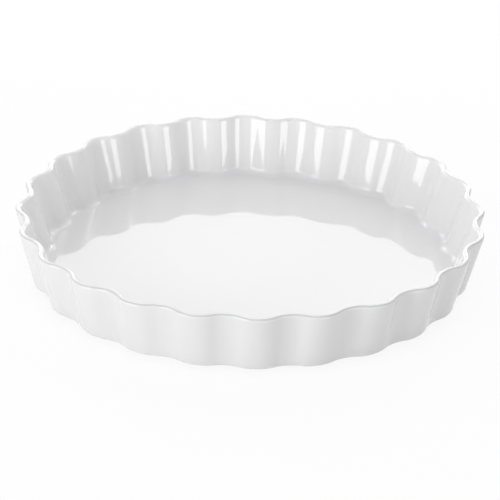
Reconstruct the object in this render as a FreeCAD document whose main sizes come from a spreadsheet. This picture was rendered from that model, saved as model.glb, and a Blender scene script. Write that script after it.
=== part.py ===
import FreeCAD, Part

import math
import os

document = FreeCAD.newDocument("quiche_dish")

# The driving sizes, in millimetres apart from the counts and the share.
# Diameters are taken over the crests of the flutes, the rim's where it is widest, under its rounded top.
# Levels are taken from the table that the dish stands on. The fluted wall ends at its lower edge, above the table,
# and from there the underside slopes in to a round foot.
SIZES = {
    "rim_diameter": 280.0,
    "edge_diameter": 263.0,
    "dish_height": 39.5,
    "flute_count": 24,
    "rim_flute_depth": 4.9,
    "edge_flute_depth": 3.2,
    "edge_level": 3.5,
    "edge_bevel": 1.0,
    "rim_wall": 3.9,
    "base_wall": 6.5,
    "floor_level": 4.4,
    "floor_cove": 4.0,
    "glaze_thickness": 0.3,
    "underside_diameter": 253.0,
    "foot_diameter": 238.0,
    "foot_ring_width": 6.0,
    "recess_depth": 0.8,
    "cut_overrun": 0.5,
    "steps_per_quarter_round": 2,
    "hidden_cove_share": 0.6,
}

sheet = document.addObject("Spreadsheet::Sheet", "Sizes")
for row, (name, value) in enumerate(SIZES.items(), start=1):
    sheet.set(f"A{row}", name)
    sheet.set(f"B{row}", str(value))
    sheet.setAlias(f"B{row}", name)
document.recompute()


def size(name):
    """A driving size, read back from the sheet."""
    return float(sheet.get(name))


height = size("dish_height")
glaze = size("glaze_thickness")
edge_level = size("edge_level")
edge_bevel = size("edge_bevel")
cove = size("floor_cove")
rim_radius = size("rim_wall") / 2
shoulder = height - rim_radius


def up_the_wall(level, at_edge, at_rim):
    """A size that changes evenly from the lower edge to the shoulder, where the rim starts to round, at one level."""
    return at_edge + (at_rim - at_edge) * (level - edge_level) / (shoulder - edge_level)


def fluted_wire(level, inset):
    """A closed ring of tangent arcs, a convex crest and a concave valley for each flute.

    With no inset it is the outer glazed face of the wall at that level. An inset moves the arcs
    in about the same centres, so that every ring at one level keeps an even distance from the others.
    """
    crest = up_the_wall(level, size("edge_diameter"), size("rim_diameter")) / 2
    depth = up_the_wall(level, size("edge_flute_depth"), size("rim_flute_depth"))
    valley = crest - depth
    half_pitch = math.pi / size("flute_count")

    # The one radius with which a crest arc and a valley arc reach both depths and meet in a tangent.
    bend = 1 - math.cos(half_pitch)
    fall = depth * (1 + math.cos(half_pitch))
    chord_squared = crest**2 + valley**2 - 2 * crest * valley * math.cos(half_pitch)
    arc_radius = (math.sqrt(fall**2 + 2 * bend * chord_squared) - fall) / (2 * bend)

    crest_centre = FreeCAD.Vector(crest - arc_radius, 0, level)
    valley_reach = valley + arc_radius
    valley_centre = FreeCAD.Vector(
        valley_reach * math.cos(half_pitch), valley_reach * math.sin(half_pitch), level
    )
    across = valley_centre - crest_centre
    turn = math.atan2(across.y, across.x)

    up = FreeCAD.Vector(0, 0, 1)
    crest_circle = Part.Circle(crest_centre, up, arc_radius - inset)
    valley_circle = Part.Circle(valley_centre, up, arc_radius + inset)
    crest_arc = Part.ArcOfCircle(crest_circle, -turn, turn)
    valley_arc = Part.ArcOfCircle(valley_circle, math.pi + 2 * half_pitch - turn, math.pi + turn)

    edges = []
    for flute in range(int(size("flute_count"))):
        for arc in (crest_arc, valley_arc):
            edge = arc.toShape()
            edge.rotate(FreeCAD.Vector(), up, math.degrees(2 * half_pitch * flute))
            edges.append(edge)
    return Part.Wire(Part.__sortEdges__(edges))


def outlines(label, stations):
    """A fluted ring for each (level, inset) station of a profile, as objects of the document."""
    rings = []
    for number, (level, inset) in enumerate(stations, start=1):
        ring = document.addObject("Part::Feature", f"{label}_{number}")
        ring.Shape = fluted_wire(level, inset)
        rings.append(ring)
    return rings


def walk(label, rings):
    """A solid whose skin runs straight from ring to ring, with a flat face inside the first and the last."""
    loft = document.addObject("Part::Loft", label)
    loft.Sections = rings
    loft.Ruled = True
    loft.Solid = True
    return loft


def quarter_steps(quarters):
    """Angles that part a round of so many quarter turns into even steps."""
    count = quarters * int(size("steps_per_quarter_round"))
    return [math.radians(90 * quarters * step / count) for step in range(count + 1)]


# The glazed face, from above the bevelled lower edge up the outside, over the full-round rim and down to the floor.
glazed_profile = [(edge_level + edge_bevel, 0)]
for angle in quarter_steps(2):
    glazed_profile.append((shoulder + rim_radius * math.sin(angle), rim_radius * (1 - math.cos(angle))))
for angle in quarter_steps(1):
    level = size("floor_level") + cove * (1 - math.sin(angle))
    glazed_profile.append((level, size("base_wall") + cove * (1 - math.cos(angle))))

# The lower edge, where the glaze runs out, and the face of the porcelain under the glaze.
edge_profile = [(edge_level, edge_bevel)]
hidden_cove = cove * size("hidden_cove_share")
hidden_floor = size("floor_level") - glaze
hidden_wall = size("base_wall") - glaze
covered_profile = [
    (edge_level + edge_bevel, glaze),
    (shoulder, glaze),
    (height - glaze, rim_radius),
    (shoulder, size("rim_wall") - glaze),
    (hidden_floor + hidden_cove, hidden_wall),
    (hidden_floor, hidden_wall + hidden_cove),
]

glazed_rings = outlines("glazed_outline", glazed_profile)
edge_rings = outlines("edge_outline", edge_profile)
covered_rings = outlines("covered_outline", covered_profile)

# The porcelain: lower edge, fluted wall, rim and floor in one walk, on a sloping round base with a shallow recess.
body_form = walk("body_form", edge_rings + covered_rings)

base = document.addObject("Part::Cone", "base")
base.setExpression("Radius1", "Sizes.foot_diameter / 2")
base.setExpression("Radius2", "Sizes.underside_diameter / 2")
base.setExpression("Height", "Sizes.edge_level")

based_form = document.addObject("Part::Fuse", "based_form")
based_form.Base = body_form
based_form.Tool = base

recess_radius = "(Sizes.foot_diameter / 2 - Sizes.foot_ring_width)"
recess = document.addObject("Part::Cone", "recess")
recess.setExpression("Radius1", recess_radius + " + Sizes.recess_depth + Sizes.cut_overrun")
recess.setExpression("Radius2", recess_radius)
recess.setExpression("Height", "Sizes.recess_depth + Sizes.cut_overrun")
recess.setExpression("Placement.Base.z", "-Sizes.cut_overrun")

porcelain_body = document.addObject("Part::Cut", "porcelain_body")
porcelain_body.Base = based_form
porcelain_body.Tool = recess

# The glaze: from the floor over the rim and down to the lower edge, then back along the porcelain.
glaze_coat = walk("glaze_coat", glazed_rings[::-1] + edge_rings + covered_rings)

# The glaze on the ceiling of the recess, cut off from the rest by the bare foot and the bare slope round it.
underside_glaze = document.addObject("Part::Cone", "underside_glaze")
underside_glaze.setExpression("Radius1", recess_radius + " + Sizes.glaze_thickness")
underside_glaze.setExpression("Radius2", recess_radius)
underside_glaze.setExpression("Height", "Sizes.glaze_thickness")
underside_glaze.setExpression("Placement.Base.z", "Sizes.recess_depth - Sizes.glaze_thickness")

document.recompute()

for thing in document.Objects:
    if "Invalid" in thing.State or "Error" in thing.State:
        raise RuntimeError(f"{thing.Label} did not build")
if based_form.Shape.Volume <= body_form.Shape.Volume:
    raise RuntimeError("the base added nothing")
if porcelain_body.Shape.Volume >= based_form.Shape.Volume:
    raise RuntimeError("the recess took nothing away")

os.makedirs("parts", exist_ok=True)
for node in (porcelain_body, glaze_coat, underside_glaze):
    shape = node.Shape
    if shape.isNull() or not shape.isValid() or len(shape.Solids) != 1:
        raise RuntimeError(f"{node.Label} is not one sound solid")
    shape.exportStep(f"parts/{node.Label}.step")
    print(node.Label, "volume", round(shape.Volume, 1), "faces", len(shape.Faces))
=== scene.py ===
import math

import bmesh
import bpy
from mathutils import Matrix, Vector


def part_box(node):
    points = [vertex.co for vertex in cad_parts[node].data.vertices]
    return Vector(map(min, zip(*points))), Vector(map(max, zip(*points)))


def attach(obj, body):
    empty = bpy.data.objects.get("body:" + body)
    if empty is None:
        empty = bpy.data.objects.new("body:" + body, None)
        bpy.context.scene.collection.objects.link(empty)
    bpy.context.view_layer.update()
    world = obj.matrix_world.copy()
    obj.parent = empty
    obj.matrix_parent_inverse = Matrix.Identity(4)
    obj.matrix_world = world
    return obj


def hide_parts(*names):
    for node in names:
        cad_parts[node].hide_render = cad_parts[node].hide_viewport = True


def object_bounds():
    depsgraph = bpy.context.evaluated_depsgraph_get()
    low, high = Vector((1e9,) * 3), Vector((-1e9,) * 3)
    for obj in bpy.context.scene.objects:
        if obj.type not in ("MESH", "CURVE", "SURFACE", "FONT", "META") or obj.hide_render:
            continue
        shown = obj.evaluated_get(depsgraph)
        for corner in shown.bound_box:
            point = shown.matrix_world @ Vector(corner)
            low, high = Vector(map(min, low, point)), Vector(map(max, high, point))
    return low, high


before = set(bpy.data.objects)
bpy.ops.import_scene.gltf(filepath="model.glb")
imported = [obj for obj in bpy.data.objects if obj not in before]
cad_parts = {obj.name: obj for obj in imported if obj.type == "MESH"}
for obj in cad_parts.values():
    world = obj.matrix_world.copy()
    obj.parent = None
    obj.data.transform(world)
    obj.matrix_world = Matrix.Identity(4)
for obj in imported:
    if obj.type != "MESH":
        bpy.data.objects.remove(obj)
cad_low, cad_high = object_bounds()

# Sizes of the dish in metres. Width, height and the recess come from the frame.
mm = 0.001
flute_count = 24
rim_crest_radius = cad_high.x
edge_crest_radius = 131.5 * mm
rim_flute_depth = 4.9 * mm
edge_flute_depth = 3.2 * mm
dish_height = cad_high.z
edge_level = 3.5 * mm
edge_round = 1.0 * mm
rim_wall = 3.9 * mm
base_wall = 6.5 * mm
rim_round = rim_wall / 2
shoulder_level = dish_height - rim_round
floor_level = 4.4 * mm
floor_cove = 4.0 * mm
glaze_thickness = 0.3 * mm

# The inner flutes: how far in they keep an even wall, and how much deeper than the outer ones they end.
even_inset = 2.4 * mm
inner_flute_gain = 0.75 * mm

# The underside: a slope in to the foot, and a glazed recess inside the foot ring.
underside_radius = 126.5 * mm
foot_radius = 119.0 * mm
foot_round = 0.9 * mm
recess_low, recess_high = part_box("underside_glaze")
recess_radius = recess_high.x
recess_ceiling = recess_high.z
recess_glaze_level = recess_low.z
recess_edge_radius = recess_radius + recess_glaze_level

# The foot ring's rounded inner edge: levels, each with its distance out from the edge of the recess.
ring_edge_rounding = ((0.15 * mm, 0.15 * mm), (0.04 * mm, 0.32 * mm), (0.0, 0.6 * mm))

# Fineness of the skins: columns for each flute, steps of small rounds, rings on slope and recess.
steps_per_flute = 40
underside_steps = 8
edge_round_steps = 5
foot_round_steps = 4
slope_ring_shares = (0.35, 0.7, 1.0)
recess_ring_shares = (0.25, 0.5, 0.75, 0.95)
weld_distance = 0.001 * mm

# Colours of the finishes and of the room, and the glaze's index of refraction.
clear_white = (0.868, 0.867, 0.871, 1.0)
pooled_white = (0.848, 0.847, 0.857, 1.0)
thin_white = (0.868, 0.867, 0.863, 1.0)
rim_line_grey = (0.69, 0.69, 0.692, 1.0)
speck_grey = (0.52, 0.5, 0.47, 1.0)
porcelain_white = (0.8, 0.78, 0.745, 1.0)
porcelain_shade = (0.75, 0.725, 0.685, 1.0)
rubbed_grey = (0.6, 0.585, 0.565, 1.0)
plain_white = (1.0, 1.0, 1.0, 1.0)
glaze_ior = 1.5

# The room: strengths at which 1 is white, and the distance of the lamps in metres.
white_light = 1.0
room_light = 0.405
ceiling_light = 0.3
panel_distance = 1.3


class NodeSums:
    """Writes sums as math nodes in one node tree."""

    def __init__(self, tree):
        self.tree = tree

    def feed(self, socket, value):
        """Links another socket to this one, or sets it to a plain value."""
        if isinstance(value, bpy.types.NodeSocket):
            self.tree.links.new(value, socket)
        else:
            socket.default_value = value

    def run(self, operation, *values):
        """One math node, as the socket of its result."""
        node = self.tree.nodes.new("ShaderNodeMath")
        node.operation = operation
        for socket, value in zip(node.inputs, values):
            self.feed(socket, value)
        return node.outputs[0]

    def add(self, first, second):
        return self.run("ADD", first, second)

    def less(self, first, second):
        return self.run("SUBTRACT", first, second)

    def times(self, first, second):
        return self.run("MULTIPLY", first, second)

    def over(self, first, second):
        return self.run("DIVIDE", first, second)

    def between(self, start, end, share):
        """From start to end as the share goes from 0 to 1."""
        return self.add(start, self.times(self.less(end, start), share))


def fluted_skin_tree():
    """A profile swept round the dish. Each ring is made of crest arcs and valley arcs that meet tangent."""
    tree = bpy.data.node_groups.new("fluted skin", "GeometryNodeTree")
    face = tree.interface
    face.new_socket("Profile", in_out="INPUT", socket_type="NodeSocketGeometry")
    for name in ("Flutes", "Steps per flute"):
        face.new_socket(name, in_out="INPUT", socket_type="NodeSocketInt")
    for name in (
        "Rim radius",
        "Edge radius",
        "Rim flute depth",
        "Edge flute depth",
        "Edge level",
        "Shoulder level",
    ):
        face.new_socket(name, in_out="INPUT", socket_type="NodeSocketFloat")
    face.new_socket("Finish", in_out="INPUT", socket_type="NodeSocketMaterial")
    face.new_socket("Skin", in_out="OUTPUT", socket_type="NodeSocketGeometry")
    nodes = tree.nodes
    links = tree.links
    given = nodes.new("NodeGroupInput").outputs
    sums = NodeSums(tree)

    def noted(name):
        """A number that is noted on each point under this name."""
        node = nodes.new("GeometryNodeInputNamedAttribute")
        node.data_type = "FLOAT"
        node.inputs["Name"].default_value = name
        return node.outputs["Attribute"]

    def store(geometry, name, value):
        """The same geometry with a number noted on each point."""
        node = nodes.new("GeometryNodeStoreNamedAttribute")
        node.data_type = "FLOAT"
        node.domain = "POINT"
        node.inputs["Name"].default_value = name
        links.new(geometry, node.inputs["Geometry"])
        links.new(value, node.inputs["Value"])
        return node.outputs["Geometry"]

    # The path is one circle point for each column, and the profile is swept along it.
    columns = sums.times(given["Flutes"], given["Steps per flute"])
    circle = nodes.new("GeometryNodeCurvePrimitiveCircle")
    links.new(columns, circle.inputs["Resolution"])
    column_number = nodes.new("GeometryNodeInputIndex").outputs[0]
    path = store(circle.outputs["Curve"], "column", column_number)
    profile = nodes.new("GeometryNodeMeshToCurve")
    links.new(given["Profile"], profile.inputs["Mesh"])
    sweep = nodes.new("GeometryNodeCurveToMesh")
    links.new(path, sweep.inputs["Curve"])
    links.new(profile.outputs["Curve"], sweep.inputs["Profile Curve"])

    level = noted("level")
    inset = noted("inset")
    drawn_in = noted("drawn_in")
    pull = noted("pull")
    ring_radius = noted("ring_radius")
    extra_depth = noted("extra_depth")
    column = noted("column")

    # Crest radius, flute depth and arc radius at this level. Extra depth goes half out and half in.
    half_pitch = sums.over(math.pi, given["Flutes"])
    half_cos = sums.run("COSINE", half_pitch)
    half_sin = sums.run("SINE", half_pitch)
    wall_height = sums.less(given["Shoulder level"], given["Edge level"])
    share = sums.over(sums.less(level, given["Edge level"]), wall_height)
    outer_crest = sums.between(given["Edge radius"], given["Rim radius"], share)
    crest = sums.add(sums.less(outer_crest, drawn_in), sums.times(0.5, extra_depth))
    outer_depth = sums.between(given["Edge flute depth"], given["Rim flute depth"], share)
    depth = sums.add(outer_depth, extra_depth)
    valley = sums.less(crest, depth)
    bend = sums.less(1.0, half_cos)
    fall = sums.times(depth, sums.add(1.0, half_cos))
    squares = sums.add(sums.times(crest, crest), sums.times(valley, valley))
    product = sums.times(sums.times(2.0, half_cos), sums.times(crest, valley))
    chord_square = sums.less(squares, product)
    under_root = sums.add(
        sums.times(fall, fall), sums.times(sums.times(2.0, bend), chord_square)
    )
    arc_radius = sums.over(
        sums.less(sums.run("SQRT", under_root), fall), sums.times(2.0, bend)
    )
    crest_centre = sums.less(crest, arc_radius)
    valley_reach = sums.add(valley, arc_radius)
    valley_x = sums.times(valley_reach, half_cos)
    valley_y = sums.times(valley_reach, half_sin)
    turn = sums.run("ARCTAN2", valley_y, sums.less(valley_x, crest_centre))

    # Place of this column in its flute: 0 on the crest, 1 in the valley.
    flute_place = sums.over(column, given["Steps per flute"])
    flute = sums.run("FLOOR", sums.add(flute_place, 0.5))
    side_place = sums.times(2.0, sums.less(flute_place, flute))
    off_crest = sums.run("ABSOLUTE", side_place)
    side = sums.run("SIGN", side_place)
    on_valley = sums.run("GREATER_THAN", off_crest, 0.5)
    crest_angle = sums.times(sums.times(2.0, off_crest), turn)
    crest_arc = sums.less(arc_radius, inset)
    crest_x = sums.add(
        crest_centre, sums.times(crest_arc, sums.run("COSINE", crest_angle))
    )
    crest_y = sums.times(crest_arc, sums.run("SINE", crest_angle))
    valley_angle = sums.between(
        turn, half_pitch, sums.less(sums.times(2.0, off_crest), 1.0)
    )
    valley_arc = sums.add(arc_radius, inset)
    dip_x = sums.less(
        valley_x, sums.times(valley_arc, sums.run("COSINE", valley_angle))
    )
    dip_y = sums.less(valley_y, sums.times(valley_arc, sums.run("SINE", valley_angle)))
    flat_x = sums.between(crest_x, dip_x, on_valley)
    flat_y = sums.times(side, sums.between(crest_y, dip_y, on_valley))

    # Turned to the flute's own place round the dish, then drawn in to a plain ring.
    flute_turn = sums.times(sums.times(2.0, half_pitch), flute)
    flute_cos = sums.run("COSINE", flute_turn)
    flute_sin = sums.run("SINE", flute_turn)
    around_x = sums.less(sums.times(flat_x, flute_cos), sums.times(flat_y, flute_sin))
    around_y = sums.add(sums.times(flat_x, flute_sin), sums.times(flat_y, flute_cos))
    column_turn = sums.times(sums.times(2.0, half_pitch), flute_place)
    ring_x = sums.times(ring_radius, sums.run("COSINE", column_turn))
    ring_y = sums.times(ring_radius, sums.run("SINE", column_turn))
    place = nodes.new("ShaderNodeCombineXYZ")
    links.new(sums.between(around_x, ring_x, pull), place.inputs["X"])
    links.new(sums.between(around_y, ring_y, pull), place.inputs["Y"])
    links.new(level, place.inputs["Z"])
    swept = store(sweep.outputs["Mesh"], "off_crest", off_crest)
    shaped = nodes.new("GeometryNodeSetPosition")
    links.new(swept, shaped.inputs["Geometry"])
    links.new(place.outputs["Vector"], shaped.inputs["Position"])
    closed = nodes.new("GeometryNodeMergeByDistance")
    closed.inputs["Distance"].default_value = weld_distance
    links.new(shaped.outputs["Geometry"], closed.inputs["Geometry"])
    smooth = nodes.new("GeometryNodeSetShadeSmooth")
    links.new(closed.outputs["Geometry"], smooth.inputs["Geometry"])
    whole = nodes.new("GeometryNodeRealizeInstances")
    links.new(smooth.outputs["Geometry"], whole.inputs["Geometry"])
    finished = nodes.new("GeometryNodeSetMaterial")
    links.new(whole.outputs["Geometry"], finished.inputs["Geometry"])
    links.new(given["Finish"], finished.inputs["Material"])
    result = nodes.new("NodeGroupOutput")
    links.new(finished.outputs["Geometry"], result.inputs["Skin"])
    return tree


def station(level, inset=0.0, pull=0.0, ring_radius=0.0, extra_depth=0.0):
    """One ring of a profile: its level, its inset from the fluted outline, and its pull to a plain ring.

    Up to the even inset the ring keeps an even distance from the outline. Beyond it the whole ring
    is drawn in, so that the flutes stay about as round inside the dish as they are outside.
    """
    even = min(inset, even_inset)
    return {
        "level": level,
        "inset": even,
        "drawn_in": inset - even,
        "pull": pull,
        "ring_radius": ring_radius,
        "extra_depth": extra_depth,
    }


def plain_ring(level, radius=0.0):
    """A ring without flutes, or the middle of a flat face."""
    return station(level, pull=1.0, ring_radius=radius)


def shares(count):
    """From 0 to 1 in so many even steps."""
    return [step / count for step in range(count + 1)]


def glazed_side(cover, wall_steps, rim_steps, cove_steps, floor_steps):
    """Up the outside, over the rim and down to the middle of the floor, set back by the cover of glaze."""
    start = edge_level + edge_round
    stations = []
    for share in shares(wall_steps)[:-1]:
        stations.append(station(start + (shoulder_level - start) * share, cover))
    for share in shares(rim_steps):
        angle = math.pi * share
        rise = (rim_round - cover) * math.sin(angle)
        inset = rim_round - (rim_round - cover) * math.cos(angle)
        stations.append(station(shoulder_level + rise, inset))
    cove_level = floor_level + floor_cove
    for share in shares(wall_steps)[1:-1]:
        level = shoulder_level + (cove_level - shoulder_level) * share
        inset = rim_wall + (base_wall - rim_wall) * share - cover
        stations.append(station(level, inset, extra_depth=inner_flute_gain * share))
    cove_inset = base_wall + floor_cove
    for share in shares(cove_steps):
        angle = math.pi / 2 * share
        drop = (floor_cove + cover) * math.sin(angle)
        inset = cove_inset - (floor_cove + cover) * math.cos(angle)
        stations.append(station(cove_level - drop, inset, extra_depth=inner_flute_gain))
    for share in shares(floor_steps)[1:]:
        level = floor_level - cover
        stations.append(station(level, cove_inset, share, extra_depth=inner_flute_gain))
    return stations


def glaze_coat_profile():
    """The coat's outer face, from its rounded lower edge to the middle of the floor.

    The profile then runs back along the porcelain, which is stepped more coarsely.
    """
    edge = []
    for share in shares(edge_round_steps):
        angle = math.pi / 2 * share
        level = edge_level + edge_round * (1 - math.cos(angle))
        edge.append(station(level, edge_round * (1 - math.sin(angle))))
    outer = glazed_side(0.0, wall_steps=8, rim_steps=20, cove_steps=12, floor_steps=12)
    inner = glazed_side(glaze_thickness, wall_steps=1, rim_steps=6, cove_steps=3, floor_steps=1)
    return edge[:-1] + outer + inner[::-1] + [edge[0]]


def porcelain_profile():
    """From the middle of the recess over the foot ring, out along the slope and up under the glaze."""
    stations = [
        plain_ring(recess_ceiling),
        plain_ring(recess_ceiling, recess_radius - glaze_thickness),
    ]
    for level, outwards in ring_edge_rounding:
        stations.append(plain_ring(level, recess_edge_radius + outwards))
    slope = edge_level / (underside_radius - foot_radius)
    for share in shares(foot_round_steps):
        radius = foot_radius + foot_round * (2 * share - 1)
        stations.append(plain_ring(slope * foot_round * share**2, radius))
    for share in slope_ring_shares:
        radius = foot_radius + (underside_radius - foot_radius) * share
        stations.append(plain_ring(edge_level * share, radius))
    stations.append(station(edge_level, edge_round))
    return stations + glazed_side(
        glaze_thickness, wall_steps=1, rim_steps=6, cove_steps=3, floor_steps=2
    )


def underside_glaze_profile():
    """A flat coat in the recess with a rolled edge."""
    roll = glaze_thickness
    stations = [plain_ring(recess_glaze_level)]
    for share in recess_ring_shares:
        stations.append(plain_ring(recess_glaze_level, recess_radius * share))
    for share in shares(edge_round_steps):
        angle = math.pi / 2 * share
        level = recess_glaze_level + roll * (1 - math.cos(angle))
        stations.append(plain_ring(level, recess_radius - roll * (1 - math.sin(angle))))
    stations.append(plain_ring(recess_ceiling))
    return stations


def swept_piece(name, stations, tree, steps, finish):
    """The profile as a row of points with its numbers noted on them, swept by the tree into a plain mesh."""
    profile = bpy.data.meshes.new(name + " profile")
    points = [(float(number), 0.0, 0.0) for number in range(len(stations))]
    runs = [(number, number + 1) for number in range(len(points) - 1)]
    profile.from_pydata(points, runs, [])
    for note in stations[0]:
        noted = profile.attributes.new(note, "FLOAT", "POINT")
        noted.data.foreach_set("value", [ring[note] for ring in stations])
    shaper = bpy.data.objects.new(name + " shaper", profile)
    bpy.context.scene.collection.objects.link(shaper)
    modifier = shaper.modifiers.new("fluted skin", "NODES")
    modifier.node_group = tree
    sockets = {item.name: item.identifier for item in tree.interface.items_tree}
    values = {
        "Flutes": flute_count,
        "Steps per flute": steps,
        "Rim radius": rim_crest_radius,
        "Edge radius": edge_crest_radius,
        "Rim flute depth": rim_flute_depth,
        "Edge flute depth": edge_flute_depth,
        "Edge level": edge_level,
        "Shoulder level": shoulder_level,
        "Finish": finish,
    }
    for label, value in values.items():
        modifier[sockets[label]] = value
    depsgraph = bpy.context.evaluated_depsgraph_get()
    mesh = bpy.data.meshes.new_from_object(shaper.evaluated_get(depsgraph))
    mesh.name = name
    bpy.data.objects.remove(shaper)
    shape = bmesh.new()
    shape.from_mesh(mesh)
    bmesh.ops.recalc_face_normals(shape, faces=shape.faces)
    shape.to_mesh(mesh)
    shape.free()
    piece = bpy.data.objects.new(name, mesh)
    bpy.context.scene.collection.objects.link(piece)
    return piece


def shader_group(name, numbers, results):
    """An empty shader group that is given a place and named numbers, and ways to reach its sockets."""
    tree = bpy.data.node_groups.new(name, "ShaderNodeTree")
    tree.interface.new_socket("Place", in_out="INPUT", socket_type="NodeSocketVector")
    for label in numbers:
        tree.interface.new_socket(label, in_out="INPUT", socket_type="NodeSocketFloat")
    for label in results:
        tree.interface.new_socket(label, in_out="OUTPUT", socket_type="NodeSocketFloat")
    given = tree.nodes.new("NodeGroupInput").outputs
    result = tree.nodes.new("NodeGroupOutput").inputs
    return tree, given, result


def kiln_specks_group():
    """Small round specks, one in some of the cells that the surface is parted into."""
    least_size = 0.4
    soft_edge = 0.5
    tree, given, result = shader_group(
        "kiln specks", ["Cells per metre", "Share of cells", "Speck size"], ["Specks"]
    )
    sums = NodeSums(tree)
    cells = tree.nodes.new("ShaderNodeTexVoronoi")
    cells.voronoi_dimensions = "3D"
    tree.links.new(given["Place"], cells.inputs["Vector"])
    tree.links.new(given["Cells per metre"], cells.inputs["Scale"])
    chance = tree.nodes.new("ShaderNodeSeparateColor")
    tree.links.new(cells.outputs["Color"], chance.inputs["Color"])
    chosen = sums.run("LESS_THAN", chance.outputs["Red"], given["Share of cells"])
    own_size = sums.times(given["Speck size"], sums.add(least_size, chance.outputs["Green"]))
    depth_inside = sums.less(own_size, cells.outputs["Distance"])
    round_fall = sums.over(depth_inside, sums.times(own_size, soft_edge))
    inside = sums.run("MINIMUM", sums.run("MAXIMUM", round_fall, 0.0), 1.0)
    tree.links.new(sums.times(inside, chosen), result["Specks"])
    return tree


def fired_surface_group():
    """The soft unevenness that firing leaves: broad waves, a fine peel, and patches from both."""
    wave_detail = 1.0
    peel_detail = 2.0
    peel_in_patches = 0.3
    tree, given, result = shader_group(
        "fired surface", ["Waves per metre", "Peel per metre", "Peel share"], ["Height", "Patches"]
    )
    sums = NodeSums(tree)

    def noise(scale, detail):
        node = tree.nodes.new("ShaderNodeTexNoise")
        node.inputs["Detail"].default_value = detail
        tree.links.new(given["Place"], node.inputs["Vector"])
        tree.links.new(given[scale], node.inputs["Scale"])
        return node.outputs["Fac"]

    waves = noise("Waves per metre", wave_detail)
    peel = noise("Peel per metre", peel_detail)
    tree.links.new(sums.between(waves, peel, given["Peel share"]), result["Height"])
    tree.links.new(sums.between(waves, peel, peel_in_patches), result["Patches"])
    return tree


class Finish:
    """A material with its Principled shader, and short ways to put nodes before it."""

    def __init__(self, name):
        self.material = bpy.data.materials.new(name)
        self.material.use_nodes = True
        self.tree = self.material.node_tree
        self.shader = self.tree.nodes["Principled BSDF"]
        self.sums = NodeSums(self.tree)
        self.place = self.tree.nodes.new("ShaderNodeTexCoord").outputs["Object"]

    def group(self, tree, **values):
        """A shader group at this place on the piece, with its numbers set."""
        node = self.tree.nodes.new("ShaderNodeGroup")
        node.node_tree = tree
        self.tree.links.new(self.place, node.inputs["Place"])
        for label, value in values.items():
            node.inputs[label.replace("_", " ").capitalize()].default_value = value
        return node.outputs

    def noted(self, name):
        """A number that the sweep noted on the piece."""
        node = self.tree.nodes.new("ShaderNodeAttribute")
        node.attribute_name = name
        return node.outputs["Fac"]

    def ramp(self, value, start, end):
        """From 0 at the start value to 1 at the end value, eased at both."""
        node = self.tree.nodes.new("ShaderNodeMapRange")
        node.interpolation_type = "SMOOTHSTEP"
        self.tree.links.new(value, node.inputs["Value"])
        node.inputs["From Min"].default_value = start
        node.inputs["From Max"].default_value = end
        return node.outputs["Result"]

    def rings(self, scale, wander, wander_scale):
        """Fine rings round the dish's axis, such as a turning tool leaves."""
        node = self.tree.nodes.new("ShaderNodeTexWave")
        node.wave_type = "RINGS"
        node.rings_direction = "Z"
        node.inputs["Scale"].default_value = scale
        node.inputs["Distortion"].default_value = wander
        node.inputs["Detail Scale"].default_value = wander_scale
        self.tree.links.new(self.place, node.inputs["Vector"])
        return node.outputs["Fac"]

    def tint(self, colour, other, share):
        """The colour turned to the other one by a share."""
        node = self.tree.nodes.new("ShaderNodeMix")
        node.data_type = "RGBA"
        sockets = {socket.identifier: socket for socket in node.inputs}
        self.sums.feed(sockets["A_Color"], colour)
        self.sums.feed(sockets["B_Color"], other)
        self.sums.feed(sockets["Factor_Float"], share)
        return next(socket for socket in node.outputs if socket.identifier == "Result_Color")

    def colour(self, value):
        self.tree.links.new(value, self.shader.inputs["Base Color"])

    def roughness(self, value):
        self.tree.links.new(value, self.shader.inputs["Roughness"])

    def raise_by(self, height, distance):
        """Bump of so many metres for a height of one."""
        bump = self.tree.nodes.new("ShaderNodeBump")
        bump.inputs["Strength"].default_value = 1.0
        bump.inputs["Distance"].default_value = distance
        self.tree.links.new(height, bump.inputs["Height"])
        self.tree.links.new(bump.outputs["Normal"], self.shader.inputs["Normal"])


def white_glaze_finish(specks, fired):
    """The coat: a little thicker and cooler low on the wall and in the valleys, and thin on the rim.

    A grey line runs along the rim's outer edge.
    """
    pool_top = 16 * mm
    valley_start = 0.35
    valley_full = 0.95
    valley_pooling = 0.6
    least_pooling = 0.55
    patchy_pooling = 0.6
    thin_start = shoulder_level + 0.6 * mm
    line_outside = 0.1 * mm
    line_full = 0.55 * mm
    line_fading = 0.95 * mm
    line_inside = 1.5 * mm
    line_level = shoulder_level + 0.4 * mm
    speck_strength = 0.45
    smoothest = 0.02
    roughest = 0.06
    relief = 0.2 * mm

    finish = Finish("white glaze")
    sums = finish.sums
    surface = finish.group(fired, waves_per_metre=42.0, peel_per_metre=600.0, peel_share=0.02)
    low = finish.ramp(finish.noted("level"), pool_top, floor_level)
    valley = finish.ramp(finish.noted("off_crest"), valley_start, valley_full)
    pooled = sums.run("MAXIMUM", sums.times(valley, valley_pooling), low)
    uneven = sums.add(least_pooling, sums.times(surface["Patches"], patchy_pooling))
    white = finish.tint(clear_white, pooled_white, sums.times(pooled, uneven))
    thin = finish.ramp(finish.noted("level"), thin_start, dish_height)
    white = finish.tint(white, thin_white, thin)
    # Grey colour along the rim's outer edge, from just over the shoulder.
    outer_edge = finish.ramp(finish.noted("inset"), line_outside, line_full)
    top_edge = finish.ramp(finish.noted("inset"), line_inside, line_fading)
    on_rim = finish.ramp(finish.noted("level"), shoulder_level, line_level)
    rim_line_share = sums.times(sums.times(outer_edge, top_edge), on_rim)
    white = finish.tint(white, rim_line_grey, rim_line_share)
    dots = finish.group(specks, cells_per_metre=55.0, share_of_cells=0.06, speck_size=0.022)
    white = finish.tint(white, speck_grey, sums.times(dots["Specks"], speck_strength))
    finish.colour(white)
    finish.roughness(sums.between(smoothest, roughest, surface["Patches"]))
    finish.shader.inputs["IOR"].default_value = glaze_ior
    finish.raise_by(surface["Height"], relief)
    return finish.material


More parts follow.
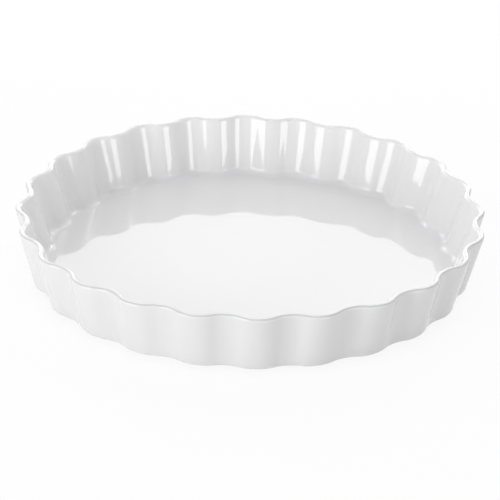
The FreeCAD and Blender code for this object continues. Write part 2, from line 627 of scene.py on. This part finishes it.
def recess_glaze_finish(specks, fired):
    """The glaze in the recess: more uneven and speckled, with a greyer bead along its edge."""
    bead_start = recess_radius - 3 * mm
    bead_strength = 0.4
    speck_strength = 0.6
    smoothest = 0.05
    roughest = 0.14
    relief = 0.12 * mm

    finish = Finish("recess glaze")
    sums = finish.sums
    surface = finish.group(fired, waves_per_metre=35.0, peel_per_metre=420.0, peel_share=0.2)
    bead = finish.ramp(finish.noted("ring_radius"), bead_start, recess_radius)
    white = finish.tint(clear_white, pooled_white, surface["Patches"])
    white = finish.tint(white, porcelain_shade, sums.times(bead, bead_strength))
    dots = finish.group(specks, cells_per_metre=70.0, share_of_cells=0.16, speck_size=0.035)
    white = finish.tint(white, speck_grey, sums.times(dots["Specks"], speck_strength))
    finish.colour(white)
    finish.roughness(sums.between(smoothest, roughest, surface["Patches"]))
    finish.shader.inputs["IOR"].default_value = glaze_ior
    finish.raise_by(surface["Height"], relief)
    return finish.material


def bare_porcelain_finish(specks, fired):
    """Unglazed and matt, rubbed grey where the foot stands on tables and oven racks."""
    rings_in_shade = 0.35
    rings_in_height = 0.4
    rubbed_level = 0.25 * mm
    rub_start = 0.45
    rub_full = 0.62
    rub_strength = 0.7
    speck_strength = 0.5
    smoothest = 0.62
    roughest = 0.82
    relief = 0.03 * mm

    finish = Finish("bare porcelain")
    sums = finish.sums
    surface = finish.group(fired, waves_per_metre=90.0, peel_per_metre=3200.0, peel_share=0.7)
    turned = finish.rings(scale=330.0, wander=1.5, wander_scale=0.2)
    shade = sums.between(surface["Patches"], turned, rings_in_shade)
    body = finish.tint(porcelain_white, porcelain_shade, shade)
    standing = finish.ramp(finish.noted("level"), rubbed_level, 0.0)
    rubs = finish.ramp(surface["Patches"], rub_start, rub_full)
    rubbed = sums.times(standing, sums.times(rubs, rub_strength))
    body = finish.tint(body, rubbed_grey, rubbed)
    dots = finish.group(specks, cells_per_metre=140.0, share_of_cells=0.3, speck_size=0.06)
    body = finish.tint(body, speck_grey, sums.times(dots["Specks"], speck_strength))
    finish.colour(body)
    finish.roughness(sums.between(smoothest, roughest, surface["Patches"]))
    finish.raise_by(sums.between(surface["Height"], turned, rings_in_height), relief)
    return finish.material


def seen_as_white(material_or_world):
    """One for rays that the camera, gloss or glass sends, so that these meet plain white."""
    tree = material_or_world.node_tree
    sums = NodeSums(tree)
    path = tree.nodes.new("ShaderNodeLightPath").outputs
    either = sums.run("MAXIMUM", path["Is Camera Ray"], path["Is Glossy Ray"])
    return sums.run("MAXIMUM", either, path["Is Transmission Ray"])


def pale_floor():
    """Pale paper a hair under the foot, white to the camera apart from the dish's shadow."""
    reach = 4.0
    level = -0.05 * mm
    paper_in_light = 0.7
    paper_as_seen = 0.98
    white_share = 0.9

    mesh = bpy.data.meshes.new("pale floor")
    sides = ((-1, -1), (1, -1), (1, 1), (-1, 1))
    corners = [(reach * x, reach * y, level) for x, y in sides]
    mesh.from_pydata(corners, [], [(0, 1, 2, 3)])
    floor = bpy.data.objects.new("pale floor", mesh)
    bpy.context.scene.collection.objects.link(floor)
    material = bpy.data.materials.new("pale floor")
    material.use_nodes = True
    tree = material.node_tree
    nodes = tree.nodes
    nodes.clear()
    sums = NodeSums(tree)
    seen = seen_as_white(material)
    paper = nodes.new("ShaderNodeBsdfDiffuse")
    tree.links.new(sums.between(paper_in_light, paper_as_seen, seen), paper.inputs["Color"])
    glow = nodes.new("ShaderNodeEmission")
    glow.inputs["Color"].default_value = plain_white
    glow.inputs["Strength"].default_value = white_light
    blend = nodes.new("ShaderNodeMixShader")
    tree.links.new(sums.times(seen, white_share), blend.inputs["Fac"])
    tree.links.new(paper.outputs["BSDF"], blend.inputs[1])
    tree.links.new(glow.outputs["Emission"], blend.inputs[2])
    result = nodes.new("ShaderNodeOutputMaterial")
    tree.links.new(blend.outputs["Shader"], result.inputs["Surface"])
    mesh.materials.append(material)


def soft_world():
    """A dim white room, with a white backdrop for camera and gloss up to where the dim ceiling starts."""
    ceiling_start = math.radians(30.0)
    ceiling_full = math.radians(48.0)

    world = bpy.data.worlds.new("soft white room")
    world.use_nodes = True
    bpy.context.scene.world = world
    tree = world.node_tree
    sums = NodeSums(tree)
    direction = tree.nodes.new("ShaderNodeTexCoord").outputs["Generated"]
    parts = tree.nodes.new("ShaderNodeSeparateXYZ")
    tree.links.new(direction, parts.inputs["Vector"])
    ceiling = tree.nodes.new("ShaderNodeMapRange")
    ceiling.interpolation_type = "SMOOTHSTEP"
    ceiling.inputs["From Min"].default_value = math.sin(ceiling_start)
    ceiling.inputs["From Max"].default_value = math.sin(ceiling_full)
    tree.links.new(parts.outputs["Z"], ceiling.inputs["Value"])
    backdrop = sums.between(white_light, ceiling_light, ceiling.outputs["Result"])
    room = tree.nodes["Background"]
    room.inputs["Color"].default_value = plain_white
    strength = sums.between(room_light, backdrop, seen_as_white(world))
    tree.links.new(strength, room.inputs["Strength"])


def soft_panel(name, sides, heights, brightness):
    """A flat lamp that faces the dish and fills a range of directions, in degrees.

    Sides are counted from the front, to the right, and heights from the table up.
    """
    from_side, to_side = sides
    from_height, to_height = heights
    side = math.radians((from_side + to_side) / 2)
    rise = math.radians((from_height + to_height) / 2)
    place = panel_distance * Vector(
        (math.sin(side) * math.cos(rise), -math.cos(side) * math.cos(rise), math.sin(rise))
    )
    half_turn = math.radians(to_side - from_side) / 2
    half_rise = math.radians(to_height - from_height) / 2
    data = bpy.data.lights.new(name, "AREA")
    data.shape = "RECTANGLE"
    data.size = 2 * panel_distance * math.cos(rise) * math.tan(half_turn)
    data.size_y = 2 * panel_distance * math.tan(half_rise)
    data.energy = brightness * math.pi * data.size * data.size_y
    lamp = bpy.data.objects.new(name, data)
    lamp.location = place
    lamp.rotation_euler = (-place).to_track_quat("-Z", "Y").to_euler()
    bpy.context.scene.collection.objects.link(lamp)


def photo_camera():
    """A camera at the photograph's viewing angle, aimed at the middle of the dish. Angles are in radians."""
    height_angle = 0.4737
    side_angle = 0.043
    roll = 0.027
    distance = 1.348

    data = bpy.data.cameras.new("camera")
    data.sensor_width = 36.0
    data.lens = 160.8
    data.shift_x = 0.0009
    data.shift_y = 0.022
    camera = bpy.data.objects.new("camera", data)
    back = Vector(
        (
            -math.cos(height_angle) * math.sin(side_angle),
            -math.cos(height_angle) * math.cos(side_angle),
            math.sin(height_angle),
        )
    )
    aim = (-back).to_track_quat("-Z", "Y").to_matrix()
    camera.location = Vector((0, 0, edge_level)) + back * distance
    camera.rotation_euler = (aim @ Matrix.Rotation(roll, 3, "Z")).to_euler()
    bpy.context.scene.collection.objects.link(camera)
    bpy.context.scene.camera = camera


kiln_specks = kiln_specks_group()
fired_surface = fired_surface_group()
white_glaze = white_glaze_finish(kiln_specks, fired_surface)
recess_glaze = recess_glaze_finish(kiln_specks, fired_surface)
bare_porcelain = bare_porcelain_finish(kiln_specks, fired_surface)
fluted_skin = fluted_skin_tree()

glaze_coat = swept_piece(
    "dish_glaze", glaze_coat_profile(), fluted_skin, steps_per_flute, white_glaze
)
porcelain = swept_piece(
    "dish_porcelain", porcelain_profile(), fluted_skin, steps_per_flute, bare_porcelain
)
underside = swept_piece(
    "recess_glaze", underside_glaze_profile(), fluted_skin, underside_steps, recess_glaze
)

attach(glaze_coat, "root")
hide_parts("glaze_coat")
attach(porcelain, "root")
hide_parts("porcelain_body")
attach(underside, "root")
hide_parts("underside_glaze")

pale_floor()
soft_world()
soft_panel("left panel", sides=(-67, -33), heights=(0, 28), brightness=4.25)
soft_panel("left top panel", sides=(-67, -33), heights=(28, 46), brightness=1.4)
soft_panel("right panel", sides=(29, 50), heights=(3, 20), brightness=4.4)
soft_panel("back low panel", sides=(150, 210), heights=(12, 19), brightness=3.0)
soft_panel("back panel", sides=(150, 210), heights=(19, 34), brightness=1.36)
soft_panel("back left strip", sides=(-153, -142), heights=(18, 45), brightness=3.4)
soft_panel("back right strip", sides=(147, 153), heights=(12, 40), brightness=6.5)
soft_panel("back right panel", sides=(122, 160), heights=(40, 55), brightness=2.6)
soft_panel("back top panel", sides=(165, 195), heights=(45, 75), brightness=1.7)
soft_panel("front top panel", sides=(-30, 25), heights=(48, 75), brightness=1.15)
photo_camera()
bpy.context.scene.view_settings.view_transform = "Standard"
